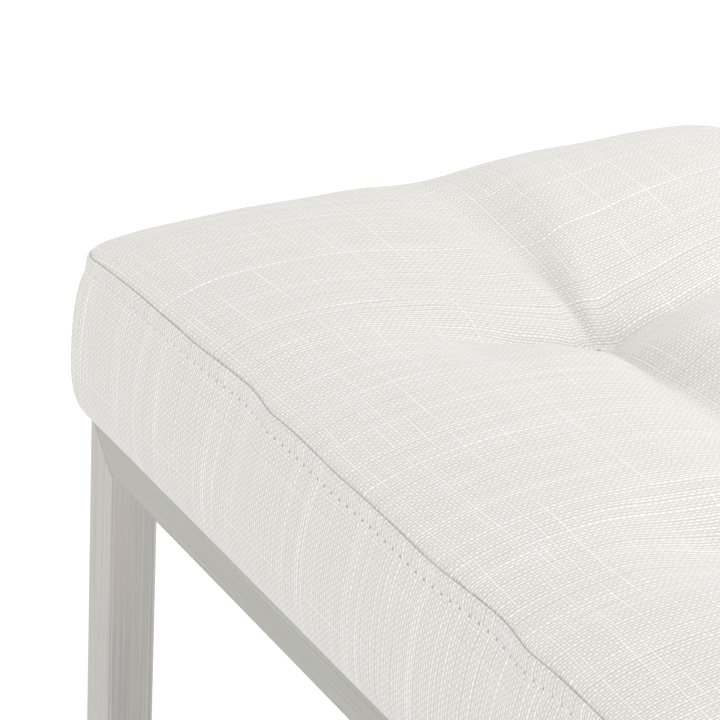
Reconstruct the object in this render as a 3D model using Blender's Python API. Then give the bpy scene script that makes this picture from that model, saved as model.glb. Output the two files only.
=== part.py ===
"""A piano bench: a tufted box cushion bolted to a welded frame of square steel tube.

X is the bench's length, Y its depth (the front is at -Y) and Z is up. The floor is z = 0.
"""

import math

import bmesh
import bpy
from mathutils import Vector

# Driving dimensions, in metres.
INCH = 0.0254
GAP = 0.0003                      # clearance between pieces that touch
FRAME_LENGTH = 30.0 * INCH
FRAME_DEPTH = 14.0 * INCH
FRAME_TOP = 15.25 * INCH          # top face of the rails

# Square tube
TUBE = 1.0 * INCH
TUBE_WALL = 0.0016
TUBE_CORNER = 0.0020
CORNER_STEPS = 2

# Levelling feet
PAD_RADIUS = 0.0110
PAD_HEIGHT = 0.0060
PAD_SOCKET = 0.0040
STUD_RADIUS = 0.0040
STUD_CLEARANCE = 0.0002
STUD_TOP = 0.0340
INSERT_FLANGE = 0.0030
INSERT_PLUG = 0.0160
LEG_BOTTOM = PAD_HEIGHT + GAP + INSERT_FLANGE + GAP

# Corner plates and fasteners
PLATE_SIDE = 0.0560
PLATE_CLIP = 0.0050
PLATE_THICK = 0.0030
PLATE_DROP = 0.0008
BOLT_INSET = 0.0190               # bolt centre from the inner face of each rail
BOLT_RADIUS = 0.0030
BOLT_HOLE = 0.0034
BOLT_HEAD_RADIUS = 0.0055
BOLT_HEAD_HEIGHT = 0.0040
T_NUT_FLANGE_RADIUS = 0.0095
T_NUT_FLANGE = 0.0013
T_NUT_BARREL_RADIUS = 0.0045
T_NUT_BARREL = 0.0090

# Seat board and the cloth layers under it
DUST_THICK = 0.0005
CLOTH_THICK = 0.0012
BOARD_THICK = 0.0150
BOARD_INSET = 0.0030              # board edge inside the frame's outline
BOARD_CORNER = 0.0120
FLANGE_WIDTH = 0.0090             # cloth turned in under the board
DUST_INSET = 0.0060
DUST_BOTTOM = FRAME_TOP + GAP
CLOTH_BOTTOM = DUST_BOTTOM + DUST_THICK + GAP
BOARD_BOTTOM = CLOTH_BOTTOM + CLOTH_THICK + GAP
BOARD_TOP = BOARD_BOTTOM + BOARD_THICK

# Cushion
SEAM_HEIGHT = 3.65 * INCH         # top seam above the frame's top
SEAM_DROP = 0.0080                # how far the seam falls at the corners
SEAM_FALL = 0.0400                # the length over which it falls
SEAM_OUT = 0.0050                 # seam outside the frame's outline
SEAM_CORNER = 0.0180
PUFF_CROWN = 0.0220
PUFF_EDGE = 0.0550                # width of a puff's rounded border
TUFT_DEPTH = 0.0180
TUFT_RADIUS = 0.0300
TUFT_COLUMNS = (-8.4 * INCH, 0.0, 8.4 * INCH)
GRID_COLUMNS = 20
GRID_ROWS = 10
WADDING_THICK = 0.0050
FILLING_INSET = CLOTH_THICK + 6.0 * GAP   # wadding and foam inside the cloth
FOAM_SKIRT_LIFT = 0.0036           # foam skirt above the turned-in cloth
TIE_RADIUS = 0.0010
TIE_HOLE = 0.0025
KNOT_RADIUS = 0.0021
ANCHOR_RADIUS = 0.0080
ANCHOR_THICK = 0.0016
ANCHOR_POCKET = 0.0050

# Side profile of the cushion from bottom to top: (outside the frame's outline, share of the seam height)
SIDE_PROFILE = (
    (0.0020, 0.012), (0.0072, 0.028), (0.0104, 0.080), (0.0120, 0.200), (0.0117, 0.380),
    (0.0099, 0.580), (0.0072, 0.820), (SEAM_OUT, 1.0),
)

HALF_LENGTH = FRAME_LENGTH / 2.0
HALF_DEPTH = FRAME_DEPTH / 2.0
SIDES = (("left", -1), ("right", 1))
ENDS = (("front", -1), ("rear", 1))


def clear_scene():
    for obj in list(bpy.data.objects):
        bpy.data.objects.remove(obj, do_unlink=True)


def material(name, colour, roughness, metallic=0.0):
    made = bpy.data.materials.new(name)
    made.use_nodes = True
    shader = made.node_tree.nodes["Principled BSDF"]
    shader.inputs["Base Color"].default_value = (*colour, 1.0)
    shader.inputs["Roughness"].default_value = roughness
    shader.inputs["Metallic"].default_value = metallic
    made.diffuse_color = (*colour, 1.0)
    return made


def as_object(name, bm, mat, location=(0.0, 0.0, 0.0), rotation=(0.0, 0.0, 0.0), parent=None, smooth=None):
    """Turns a bmesh into a named object; smooth is the sharp-edge angle in degrees for round pieces."""
    bmesh.ops.recalc_face_normals(bm, faces=bm.faces)
    mesh = bpy.data.meshes.new(name)
    bm.to_mesh(mesh)
    bm.free()
    if smooth is not None:
        mesh.shade_smooth()
        mesh.set_sharp_from_angle(angle=math.radians(smooth))
    if mat:
        mesh.materials.append(mat)
    obj = bpy.data.objects.new(name, mesh)
    bpy.context.collection.objects.link(obj)
    obj.location = location
    obj.rotation_euler = rotation
    obj.parent = parent
    return obj


def rounded_rectangle(half_x, half_y, radius, steps):
    """Points of a rounded rectangle, anticlockwise."""
    points = []
    for quarter, (sx, sy) in enumerate(((1, -1), (1, 1), (-1, 1), (-1, -1))):
        for step in range(steps + 1):
            angle = math.radians(-90 + 90 * quarter + 90 * step / steps)
            x = sx * (half_x - radius) + radius * math.cos(angle)
            y = sy * (half_y - radius) + radius * math.sin(angle)
            points.append((x, y))
    return points


def circle(radius, steps, centre=(0.0, 0.0)):
    turns = [2.0 * math.pi * step / steps for step in range(steps)]
    return [(centre[0] + radius * math.cos(t), centre[1] + radius * math.sin(t)) for t in turns]


def plate(outline, holes, z_low, z_high):
    """A flat plate: an outline with holes, extruded upwards."""
    bm = bmesh.new()
    edges = []
    for loop in [outline, *holes]:
        verts = [bm.verts.new((x, y, z_low)) for x, y in loop]
        edges += [bm.edges.new((a, b)) for a, b in zip(verts, verts[1:] + verts[:1])]
    bmesh.ops.triangle_fill(bm, use_beauty=True, edges=edges)
    extruded = bmesh.ops.extrude_face_region(bm, geom=list(bm.faces))
    top = [item for item in extruded["geom"] if isinstance(item, bmesh.types.BMVert)]
    bmesh.ops.translate(bm, verts=top, vec=(0.0, 0.0, z_high - z_low))
    return bm


def lathe(profile, steps):
    """A turned piece from (radius, z) points; a closed ring if no point is on the axis."""
    bm = bmesh.new()
    verts = [bm.verts.new((r, 0.0, z)) for r, z in profile]
    pairs = list(zip(verts, verts[1:]))
    if min(r for r, _ in profile) > 0.0:
        pairs.append((verts[-1], verts[0]))
    edges = [bm.edges.new(pair) for pair in pairs]
    bmesh.ops.spin(
        bm, geom=verts + edges, cent=(0.0, 0.0, 0.0), axis=(0.0, 0.0, 1.0),
        angle=2.0 * math.pi, steps=steps, use_merge=True,
    )
    bmesh.ops.remove_doubles(bm, verts=bm.verts, dist=0.000001)
    return bm


def bridge(bm, lower, upper):
    for index in range(len(lower)):
        after = (index + 1) % len(lower)
        bm.faces.new((lower[index], lower[after], upper[after], upper[index]))


def ring_loft(rings, closed):
    """Skins equal-length rings of points; closed joins the last ring to the first."""
    bm = bmesh.new()
    loops = [[bm.verts.new(point) for point in ring] for ring in rings]
    pairs = list(zip(loops, loops[1:]))
    if closed:
        pairs.append((loops[-1], loops[0]))
    for low, high in pairs:
        bridge(bm, low, high)
    return bm


# ---- frame -------------------------------------------------------------------------------------


def tube(length, start_skew=0, end_skew=0):
    """A hollow square tube along +Z; a skew of 1 or -1 cuts that end at 45 degrees across X."""
    outer = rounded_rectangle(TUBE / 2.0, TUBE / 2.0, TUBE_CORNER, CORNER_STEPS)
    inside = TUBE / 2.0 - TUBE_WALL
    inner = rounded_rectangle(inside, inside, TUBE_CORNER - TUBE_WALL, CORNER_STEPS)
    rings = []
    for outline, ends in ((outer, (0, 1)), (inner, (1, 0))):
        for end in ends:
            skew = end_skew if end else start_skew
            rings.append([(x, y, end * length + skew * x) for x, y in outline])
    bm = ring_loft(rings, closed=True)
    return bm


def build_frame(steel):
    centre_x = HALF_LENGTH - TUBE / 2.0
    centre_y = HALF_DEPTH - TUBE / 2.0
    rail_z = FRAME_TOP - TUBE / 2.0
    mitre_gap = GAP / 2.0
    leg_length = rail_z - LEG_BOTTOM - mitre_gap
    rail_length = 2.0 * (centre_x - mitre_gap)
    end_length = FRAME_DEPTH - 2.0 * (TUBE + GAP)
    for end, sy in ENDS:
        for side, sx in SIDES:
            bm = tube(leg_length, end_skew=sx)
            as_object(f"leg_{end}_{side}", bm, steel, (sx * centre_x, sy * centre_y, LEG_BOTTOM))
        bm = tube(rail_length, start_skew=1, end_skew=-1)
        start = (-rail_length / 2.0, sy * centre_y, rail_z)
        as_object(f"rail_{end}", bm, steel, start, rotation=(0.0, math.pi / 2.0, 0.0))
    for side, sx in SIDES:
        start = (sx * centre_x, end_length / 2.0, rail_z)
        as_object(f"rail_{side}", tube(end_length), steel, start, rotation=(math.pi / 2.0, 0.0, 0.0))


def bolt_places():
    x = HALF_LENGTH - TUBE - BOLT_INSET
    y = HALF_DEPTH - TUBE - BOLT_INSET
    return [(f"{end}_{side}", sx, sy, sx * x, sy * y) for end, sy in ENDS for side, sx in SIDES]


def build_corner_plates(steel):
    """Clipped triangles welded into the frame's inner corners, each with one bolt hole."""
    low = FRAME_TOP - PLATE_DROP - PLATE_THICK
    for place_name, sx, sy, x, y in bolt_places():
        corner_x = HALF_LENGTH - TUBE - GAP
        corner_y = HALF_DEPTH - TUBE - GAP
        inward = (
            (PLATE_CLIP, 0.0), (PLATE_SIDE, 0.0), (PLATE_SIDE, PLATE_CLIP),
            (PLATE_CLIP, PLATE_SIDE), (0.0, PLATE_SIDE), (0.0, PLATE_CLIP),
        )
        outline = [(sx * (corner_x - a), sy * (corner_y - b)) for a, b in inward]
        bm = plate(outline, [circle(BOLT_HOLE, 16, (x, y))], low, low + PLATE_THICK)
        as_object(f"corner_plate_{place_name}", bm, steel)


# ---- levelling feet ----------------------------------------------------------------------------


def insert_shape():
    """A plug for the tube's end: a square flange, a square plug and a round bore for the stud."""
    bore = STUD_RADIUS + STUD_CLEARANCE
    plug_half = TUBE / 2.0 - TUBE_WALL - GAP
    corner = TUBE_CORNER - TUBE_WALL
    per_corner = 4
    flange = rounded_rectangle(TUBE / 2.0, TUBE / 2.0, TUBE_CORNER, per_corner)
    plug = rounded_rectangle(plug_half, plug_half, corner, per_corner)
    sides = len(flange)
    first = -math.pi / 4.0 - math.pi / sides * per_corner
    turns = [first + 2.0 * math.pi * step / sides for step in range(sides)]
    hole = [(bore * math.cos(turn), bore * math.sin(turn)) for turn in turns]
    step = INSERT_FLANGE
    top = INSERT_FLANGE + INSERT_PLUG
    levels = ((hole, 0.0), (flange, 0.0), (flange, step), (plug, step), (plug, top), (hole, top))
    bm = ring_loft([[(x, y, z) for x, y in loop] for loop, z in levels], closed=True)
    return bm


def build_feet(plastic, steel):
    centre_x = HALF_LENGTH - TUBE / 2.0
    centre_y = HALF_DEPTH - TUBE / 2.0
    chamfer = 0.0012
    socket = STUD_RADIUS + GAP
    shoulder = PAD_HEIGHT - chamfer
    stud_low = PAD_HEIGHT - PAD_SOCKET + GAP
    pad = (
        (0.0, PAD_HEIGHT - PAD_SOCKET), (socket, PAD_HEIGHT - PAD_SOCKET), (socket, PAD_HEIGHT),
        (PAD_RADIUS - chamfer, PAD_HEIGHT), (PAD_RADIUS, shoulder), (PAD_RADIUS, chamfer),
        (PAD_RADIUS - chamfer, 0.0), (0.0, 0.0),
    )
    stud = (
        (0.0, STUD_TOP), (STUD_RADIUS - chamfer, STUD_TOP), (STUD_RADIUS, STUD_TOP - chamfer),
        (STUD_RADIUS, stud_low), (0.0, stud_low),
    )
    for end, sy in ENDS:
        for side, sx in SIDES:
            at = (sx * centre_x, sy * centre_y, 0.0)
            spot = f"{end}_{side}"
            axis = bpy.data.objects.new(f"glide_axis_{spot}", None)
            bpy.context.collection.objects.link(axis)
            axis.location = at
            lifted = (at[0], at[1], PAD_HEIGHT + GAP)
            as_object(f"foot_insert_{spot}", insert_shape(), plastic, lifted)
            as_object(f"glide_pad_{spot}", lathe(pad, 20), plastic, parent=axis, smooth=40)
            as_object(f"glide_stud_{spot}", lathe(stud, 16), steel, parent=axis, smooth=40)


# ---- fasteners ---------------------------------------------------------------------------------


def bolt_shape(low, high):
    """A hexagon-head bolt pointing up: the head's six sides each have a middle point."""
    bm = bmesh.new()
    head = []
    for step in range(12):
        turn = 2.0 * math.pi * step / 12
        reach = BOLT_HEAD_RADIUS * (math.cos(math.pi / 6.0) if step % 2 else 1.0)
        head.append((reach * math.cos(turn), reach * math.sin(turn)))
    shank = circle(BOLT_RADIUS, 12)
    tip = circle(BOLT_RADIUS * 0.75, 12)
    under = low + BOLT_HEAD_HEIGHT
    shoulder = high - BOLT_RADIUS * 0.25
    levels = ((head, low), (head, under), (shank, under), (shank, shoulder), (tip, high))
    loops = [[bm.verts.new((x, y, z)) for x, y in loop] for loop, z in levels]
    bm.faces.new(loops[0])
    bm.faces.new(loops[-1])
    for lower, upper in zip(loops, loops[1:]):
        bridge(bm, lower, upper)
    return bm


def build_fasteners(steel):
    plate_low = FRAME_TOP - PLATE_DROP - PLATE_THICK
    bolt_low = plate_low - GAP - BOLT_HEAD_HEIGHT
    flange_top = BOARD_TOP - GAP
    flange_low = flange_top - T_NUT_FLANGE
    bore = BOLT_RADIUS + STUD_CLEARANCE
    t_nut = (
        (bore, flange_low - T_NUT_BARREL), (T_NUT_BARREL_RADIUS, flange_low - T_NUT_BARREL),
        (T_NUT_BARREL_RADIUS, flange_low), (T_NUT_FLANGE_RADIUS, flange_low),
        (T_NUT_FLANGE_RADIUS, flange_top), (bore, flange_top),
    )
    for place_name, _, _, x, y in bolt_places():
        at = (x, y, 0.0)
        as_object(f"seat_bolt_{place_name}", bolt_shape(bolt_low, flange_low), steel, at, smooth=40)
        as_object(f"t_nut_{place_name}", lathe(t_nut, 16), steel, at, smooth=40)


# ---- seat board --------------------------------------------------------------------------------


def as_cutter(name, bm):
    cutter = as_object(name, bm, None)
    cutter.hide_render = True
    cutter.display_type = "WIRE"
    return cutter


def cut(obj, cutter):
    boolean = obj.modifiers.new(cutter.name, "BOOLEAN")
    boolean.operation = "DIFFERENCE"
    boolean.solver = "EXACT"
    boolean.object = cutter


def join_at(shapes):
    """Joins (bmesh, x, y) shapes into one bmesh, each moved to its place."""
    joined = bmesh.new()
    for shape, x, y in shapes:
        bmesh.ops.translate(shape, verts=shape.verts, vec=(x, y, 0.0))
        mesh = bpy.data.meshes.new("shape")
        bmesh.ops.recalc_face_normals(shape, faces=shape.faces)
        shape.to_mesh(mesh)
        shape.free()
        joined.from_mesh(mesh)
        bpy.data.meshes.remove(mesh)
    return joined


def build_board(wood):
    half_x = HALF_LENGTH - BOARD_INSET
    half_y = HALF_DEPTH - BOARD_INSET
    board = plate(rounded_rectangle(half_x, half_y, BOARD_CORNER, 4), [], BOARD_BOTTOM, BOARD_TOP)
    obj = as_object("seat_board", board, wood)
    below = BOARD_BOTTOM - 0.002
    above = BOARD_TOP + 0.002
    pocket = BOARD_TOP - T_NUT_FLANGE - 2.0 * GAP
    barrel = T_NUT_BARREL_RADIUS + GAP
    wide = T_NUT_FLANGE_RADIUS + GAP
    nut_hole = (
        (0.0, above), (wide, above), (wide, pocket), (barrel, pocket), (barrel, below), (0.0, below),
    )
    under = BOARD_BOTTOM + ANCHOR_POCKET
    disc = ANCHOR_RADIUS + GAP
    tie_hole = (
        (0.0, above), (TIE_HOLE, above), (TIE_HOLE, under), (disc, under), (disc, below), (0.0, below),
    )
    shapes = [(lathe(nut_hole, 16), x, y) for _, _, _, x, y in bolt_places()]
    shapes += [(lathe(tie_hole, 16), x, 0.0) for x in TUFT_COLUMNS]
    cut(obj, as_cutter("board_cutter", join_at(shapes)))


def build_ties(twine, steel):
    """The twine from each tuft down to its anchor disc, which sits in a pocket under the board."""
    disc_top = BOARD_BOTTOM + ANCHOR_POCKET - GAP
    disc_low = disc_top - ANCHOR_THICK
    hole = TIE_RADIUS + GAP
    anchor = (
        (hole, disc_low), (ANCHOR_RADIUS, disc_low), (ANCHOR_RADIUS, disc_top), (hole, disc_top),
    )
    knot_top = disc_low - GAP
    knot_low = knot_top - 0.0020
    for index, x in enumerate(TUFT_COLUMNS, start=1):
        tie_top = top_height(x, 0.0) - CLOTH_THICK - GAP
        tie = (
            (0.0, tie_top), (TIE_RADIUS, tie_top), (TIE_RADIUS, knot_top), (KNOT_RADIUS, knot_top),
            (KNOT_RADIUS, knot_low), (0.0, knot_low),
        )
        as_object(f"tuft_anchor_{index}", lathe(anchor, 16), steel, (x, 0.0, 0.0), smooth=40)
        as_object(f"tuft_tie_{index}", lathe(tie, 8), twine, (x, 0.0, 0.0), smooth=40)


def build_dust_cover(cloth):
    half_x = HALF_LENGTH - DUST_INSET
    half_y = HALF_DEPTH - DUST_INSET
    outline = rounded_rectangle(half_x, half_y, BOARD_CORNER, 4)
    holes = [circle(BOLT_HOLE, 12, (x, y)) for _, _, _, x, y in bolt_places()]
    as_object("dust_cover", plate(outline, holes, DUST_BOTTOM, DUST_BOTTOM + DUST_THICK), cloth)


# ---- cushion -----------------------------------------------------------------------------------


def seam_height(x, y):
    """Height of the top seam: level along the sides and a little lower at the corners."""
    near_end = math.exp(-(HALF_LENGTH - min(abs(x), HALF_LENGTH)) / SEAM_FALL)
    near_side = math.exp(-(HALF_DEPTH - min(abs(y), HALF_DEPTH)) / SEAM_FALL)
    return FRAME_TOP + SEAM_HEIGHT - SEAM_DROP * near_end * near_side


def swell(distance):
    """0 on a puff's border, rising to 1 over the width of its rounded border."""
    share = min(max(distance, 0.0) / PUFF_EDGE, 1.0)
    return math.sin(share * math.pi / 2.0)


def top_height(x, y):
    """Height of the cushion's top: puffs between the tufts' folds and the seam."""
    lines_x = (-HALF_LENGTH - SEAM_OUT, *TUFT_COLUMNS, HALF_LENGTH + SEAM_OUT)
    lines_y = (-HALF_DEPTH - SEAM_OUT, 0.0, HALF_DEPTH + SEAM_OUT)
    across = swell(min(abs(x - line) for line in lines_x))
    along = swell(min(abs(y - line) for line in lines_y))
    tuft = min(math.hypot(x - column, y) for column in TUFT_COLUMNS)
    pull = TUFT_DEPTH * math.exp(-((tuft / TUFT_RADIUS) ** 2))
    return seam_height(x, y) + PUFF_CROWN * math.sqrt(across * along) - pull


def grid_lines(half, radius, lines, count):
    """Grid positions along one side: two in each rounded corner, and the rest evenly spaced."""
    inner = half - radius
    even = [-inner + 2.0 * inner * step / count for step in range(count + 1)]
    corner = [half - radius * share for share in (0.0, 0.5)]
    marks = {round(value, 6) for value in even + list(lines)}
    marks |= {round(sign * value, 6) for value in corner for sign in (-1, 1)}
    ordered = sorted(marks)
    kept = ordered[:1]
    for value in ordered[1:]:
        if value - kept[-1] > 0.004:
            kept.append(value)
    return kept


def round_corner(x, y, half_x, half_y, radius):
    """Moves a point of a square corner onto the same place in a round one."""
    across = abs(x) - (half_x - radius)
    along = abs(y) - (half_y - radius)
    if across <= 0.0 or along <= 0.0:
        return x, y
    share = max(across, along) / math.hypot(across, along)
    new_x = math.copysign(half_x - radius + across * share, x)
    new_y = math.copysign(half_y - radius + along * share, y)
    return new_x, new_y


def cushion_grid():
    """The top's grid points inside the seam's outline, as rows of (x, y)."""
    half_x = HALF_LENGTH + SEAM_OUT
    half_y = HALF_DEPTH + SEAM_OUT
    xs = grid_lines(half_x, SEAM_CORNER, TUFT_COLUMNS, GRID_COLUMNS)
    ys = grid_lines(half_y, SEAM_CORNER, (0.0,), GRID_ROWS)
    return [[round_corner(x, y, half_x, half_y, SEAM_CORNER) for x in xs] for y in ys]


def border(rows):
    """The grid's outline, anticlockwise from its first corner."""
    last = len(rows[0]) - 1
    loop = [(0, column) for column in range(last)]
    loop += [(row, last) for row in range(len(rows) - 1)]
    loop += [(len(rows) - 1, column) for column in range(last, 0, -1)]
    loop += [(row, 0) for row in range(len(rows) - 1, 0, -1)]
    return loop


def fill_grid(bm, drop, inset):
    """Adds a surface a given drop below the cushion's top, its border drawn in and down by an inset."""
    rows = [[Vector((x, y, top_height(x, y) - drop)) for x, y in row] for row in cushion_grid()]
    drawn_in = {}
    for row, column in border(rows):
        point = rows[row][column]
        inner = rows[min(max(row, 1), len(rows) - 2)][min(max(column, 1), len(rows[0]) - 2)]
        drawn_in[row, column] = point + (inner - point).normalized() * inset - Vector((0.0, 0.0, inset / 2.0))
    for (row, column), point in drawn_in.items():
        rows[row][column] = point
    verts = [[bm.verts.new(point) for point in row] for row in rows]
    for near, far in zip(verts, verts[1:]):
        for column in range(len(near) - 1):
            bm.faces.new((near[column], near[column + 1], far[column + 1]))
            bm.faces.new((near[column], far[column + 1], far[column]))
    return verts


def quilted_sheet(drop, thick, inset):
    """A layer of even thickness that follows the cushion's top."""
    bm = bmesh.new()
    upper = fill_grid(bm, drop, inset)
    lower = fill_grid(bm, drop + thick, inset)
    loop = border(upper)
    bridge(bm, [upper[row][column] for row, column in loop], [lower[row][column] for row, column in loop])
    return bm


def cushion_outline():
    rows = cushion_grid()
    return [rows[row][column] for row, column in border(rows)]


def pushed(x, y, out):
    """Moves a point of the seam's outline outwards, keeping its corners round."""
    core_x = HALF_LENGTH + SEAM_OUT - SEAM_CORNER
    core_y = HALF_DEPTH + SEAM_OUT - SEAM_CORNER
    away_x = math.copysign(max(abs(x) - core_x, 0.0), x)
    away_y = math.copysign(max(abs(y) - core_y, 0.0), y)
    reach = math.hypot(away_x, away_y)
    return x + out * away_x / reach, y + out * away_y / reach


def side_ring(out, share, inwards=0.0):
    """A ring of the cushion's side, at a share of the local height from its underside to its seam."""
    ring = []
    for x, y in cushion_outline():
        at_x, at_y = pushed(x, y, out - SEAM_OUT - inwards)
        height = seam_height(at_x, at_y) - CLOTH_THICK - 2.0 * GAP - CLOTH_BOTTOM
        ring.append((at_x, at_y, CLOTH_BOTTOM + share * height))
    return ring


def level_ring(out, z):
    return [(*pushed(x, y, out - SEAM_OUT), z) for x, y in cushion_outline()]


def build_boxing(cloth):
    """The side band, from the seam down and turned in under the board."""
    outer = [side_ring(out, share) for out, share in SIDE_PROFILE]
    inner = [side_ring(out, share, CLOTH_THICK) for out, share in reversed(SIDE_PROFILE[1:])]
    cloth_top = CLOTH_BOTTOM + CLOTH_THICK
    folded = -BOARD_INSET
    edge = -BOARD_INSET - FLANGE_WIDTH
    flange = [
        level_ring(folded, cloth_top), level_ring(edge, cloth_top),
        level_ring(edge, CLOTH_BOTTOM), level_ring(folded, CLOTH_BOTTOM),
    ]
    bm = ring_loft([*outer, *inner, *flange], closed=True)
    as_object("cover_boxing", bm, cloth, smooth=50)


def build_foam(foam):
    """The foam block, wrapped down round the board, with a puffed top and a hole at each tuft."""
    bm = bmesh.new()
    verts = fill_grid(bm, CLOTH_THICK + WADDING_THICK + 2.0 * GAP, FILLING_INSET)
    previous = [verts[row][column] for row, column in border(verts)]
    skirt_low = CLOTH_BOTTOM + FOAM_SKIRT_LIFT
    rings = [side_ring(out, share, FILLING_INSET) for out, share in reversed(SIDE_PROFILE[2:-1])]
    recess = -BOARD_INSET + GAP
    rings += [
        level_ring(SIDE_PROFILE[1][0] - FILLING_INSET - CLOTH_THICK, skirt_low),
        level_ring(recess, skirt_low),
        level_ring(recess, BOARD_TOP + GAP),
    ]
    for ring in rings:
        loop = [bm.verts.new(point) for point in ring]
        bridge(bm, previous, loop)
        previous = loop
    bm.faces.new(previous)
    cut(as_object("foam_core", bm, foam, smooth=50), tie_cutter("foam_cutter"))


def tie_cutter(name):
    high = FRAME_TOP + SEAM_HEIGHT + 2.0 * PUFF_CROWN
    rod = ((0.0, high), (TIE_HOLE, high), (TIE_HOLE, BOARD_BOTTOM), (0.0, BOARD_BOTTOM))
    return as_cutter(name, join_at([(lathe(rod, 8), x, 0.0) for x in TUFT_COLUMNS]))


def build_cushion(cloth, wadding, foam):
    as_object("cover_top", quilted_sheet(0.0, CLOTH_THICK, 0.0), cloth, smooth=50)
    layer = quilted_sheet(CLOTH_THICK + GAP, WADDING_THICK, FILLING_INSET)
    cut(as_object("wadding", layer, wadding, smooth=50), tie_cutter("wadding_cutter"))
    build_boxing(cloth)
    build_foam(foam)


def main():
    clear_scene()
    steel = material("brushed_steel", (0.52, 0.51, 0.48), 0.36, 1.0)
    zinc = material("zinc_steel", (0.60, 0.60, 0.58), 0.40, 1.0)
    plastic = material("black_plastic", (0.03, 0.03, 0.03), 0.45)
    cloth = material("linen_cloth", (0.80, 0.79, 0.75), 0.90)
    wood = material("plywood", (0.62, 0.47, 0.30), 0.70)
    foam = material("foam", (0.86, 0.82, 0.68), 0.95)
    batting = material("wadding", (0.90, 0.90, 0.90), 1.0)
    lining = material("dust_cloth", (0.03, 0.03, 0.035), 0.95)
    twine = material("twine", (0.78, 0.74, 0.64), 0.90)
    build_frame(steel)
    build_corner_plates(steel)
    build_feet(plastic, zinc)
    build_fasteners(zinc)
    build_board(wood)
    build_ties(twine, zinc)
    build_dust_cover(lining)
    build_cushion(cloth, batting, foam)


main()
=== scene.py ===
"""The looks of a piano bench: a tufted slub-weave cushion on a frame of brushed square tube."""

import bisect
import math

import bmesh
import bpy
import numpy as np
from mathutils import Matrix, Vector, noise


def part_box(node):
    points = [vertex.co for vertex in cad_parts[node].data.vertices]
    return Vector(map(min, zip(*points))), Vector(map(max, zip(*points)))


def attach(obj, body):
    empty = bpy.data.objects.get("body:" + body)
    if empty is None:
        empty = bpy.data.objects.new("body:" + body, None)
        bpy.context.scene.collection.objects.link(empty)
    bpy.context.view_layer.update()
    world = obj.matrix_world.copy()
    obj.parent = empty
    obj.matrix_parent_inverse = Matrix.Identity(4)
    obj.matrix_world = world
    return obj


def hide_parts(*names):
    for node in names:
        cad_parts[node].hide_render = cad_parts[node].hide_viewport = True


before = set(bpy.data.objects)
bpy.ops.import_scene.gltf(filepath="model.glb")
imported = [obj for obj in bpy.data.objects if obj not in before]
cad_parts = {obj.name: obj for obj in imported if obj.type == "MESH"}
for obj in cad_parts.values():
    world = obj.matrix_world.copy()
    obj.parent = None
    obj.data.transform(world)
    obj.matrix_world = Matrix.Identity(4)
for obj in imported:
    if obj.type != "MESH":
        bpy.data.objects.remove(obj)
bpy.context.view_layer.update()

# ---- places read from the frame ------------------------------------------------------------------

BODY = "bench"
INCH = 0.0254
ENDS = ("front", "rear")
SIDES = ("left", "right")
LEG_LOW, LEG_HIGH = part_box("leg_front_left")
TOP_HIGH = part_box("cover_top")[1]
BOARD_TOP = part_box("seat_board")[1].z
TIES = [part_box(f"tuft_tie_{index}") for index in (1, 2, 3)]
TIE_TOP = TIES[1][1].z
TUFTS = sorted((low.x + high.x) / 2.0 for low, high in TIES)
TUBE = LEG_HIGH.x - LEG_LOW.x
HALF_LENGTH = -LEG_LOW.x
HALF_DEPTH = -LEG_LOW.y
FRAME_TOP = LEG_HIGH.z
SEAM_HALF_X = TOP_HIGH.x
SEAM_HALF_Y = TOP_HIGH.y

# ---- the cushion's seam, in metres ---------------------------------------------------------------

SEAM_HEIGHT = FRAME_TOP + 3.62 * INCH
CORNER_DROPS = (0.0085, 0.0070, 0.0045, 0.0060)   # front left, front right, rear left, rear right
SEAM_FALL = 0.034              # how far from a corner the drop reaches
SEAM_WAVES = ((0.0011, 0.085, 3.1), (0.0005, 0.030, 9.4))   # (height, wavelength, seed)
CORNER_RADIUS = 0.017
END_DROP = 0.0015              # the end seams sit a little lower than the long ones
END_DIP = 0.0030               # and dip where the row of tufts draws them down
END_DIP_WIDTH = 0.036
END_REACH = 0.045              # how far in from the end seams both are felt
PULL_IN = 0.0036               # the seam drawn in level with each tuft
PULL_SLOW = 0.032
PULL_QUICK = 0.019
PULL_SWELL = 0.0014            # the seam let out again beside the pull
PULL_SWELL_AT = 0.055
PULL_REACH = 0.050             # how far in from the seam the pull is felt
ROW_PULL = 0.5                 # the row of tufts pulls this share as hard on the end seams
PULL_TURN = 0.030              # how gradually the pull turns from the long seams to the end ones
PULL_UNEVEN = (0.0009, 0.070, 5.5)
GROOVE = 0.0016                # depth of the seam's groove

# ---- the top panel's puffs and folds -------------------------------------------------------------

CROWN = 0.0160
SHOULDER = 0.020               # how quickly the top rises from its seams
PUFF_VARIES = 0.0018
PUFF_TURN = 0.060              # how gradually one side's puffs turn into the other side's
PUFF_WAVE = 9.0                # radians of the puffs' variation per metre
PUFF_START = 3.2
MIDDLE_FLATTER = 0.0044        # how much lower the front puffs between two tufts lie
MIDDLE_MARGIN = 0.030
REAR_END_FULLER = 0.0048       # the left end's rear puff is the fullest
REAR_END_TURN = 0.070
BOWL_DEPTH = 0.0270            # the hollow round each tuft
BOWL_REACH = 0.040
BOWL_POWER = 2.1
BOWL_REACH_END = 0.072
BOWL_REACH_UNEVEN = 0.010
BOWL_TURN = 0.040
TUFT_PULL = 0.0120             # the last sharp tuck at the tuft itself
TUFT_REACH = 0.010
TUFT_FLOOR = TIE_TOP - 0.0012  # the end of the tie shows as a small stitch
TUFT_SOFTNESS = 0.0008
FOLD_DEPTH = 0.0270            # the folds that run from tuft to tuft and to the seams
FOLD_LIFT = 0.008              # how much a fold rises between two tufts
FOLD_LIFT_AT = 0.107
ROW_FOLD_EXTRA = 0.0015        # the fold from the last tuft to the end seam: extra depth, and its rise
ROW_FOLD_RISE = 0.133
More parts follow.
